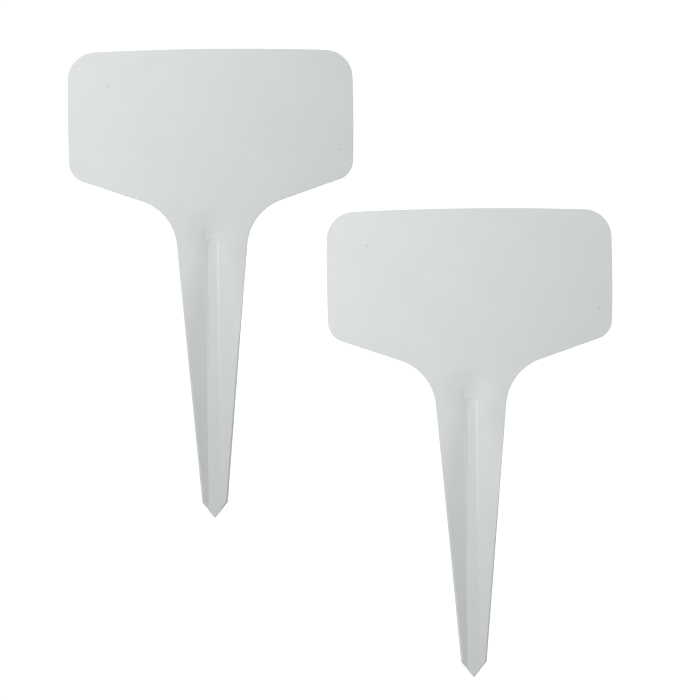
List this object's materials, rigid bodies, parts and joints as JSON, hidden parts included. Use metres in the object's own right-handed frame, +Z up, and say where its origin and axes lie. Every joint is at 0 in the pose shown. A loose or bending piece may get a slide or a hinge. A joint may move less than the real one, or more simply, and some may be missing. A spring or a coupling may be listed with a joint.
{
  "type": "plant label stakes",
  "caption": "Flat T-shaped plastic plant label stakes with a wide blank write-on head, a rounded neck and a tapered, channelled gutter stem that ends in a point for soil.",
  "frame": {"origin": "on the table that the stakes lie on, under the middle of the pair's outline", "axes": "+X runs across the labels to the right, +Y runs from the pointed tips to the heads, and +Z runs up out of the written faces"},
  "size_m": [0.114, 0.1326, 0.0025],
  "materials": {
    "label_plastic": "smooth satin moulded polypropylene, cool greyish white"
  },
  "bodies": {
    "root": {"left_stake": "label_plastic", "right_stake": "label_plastic"}
  },
  "joints": []
}
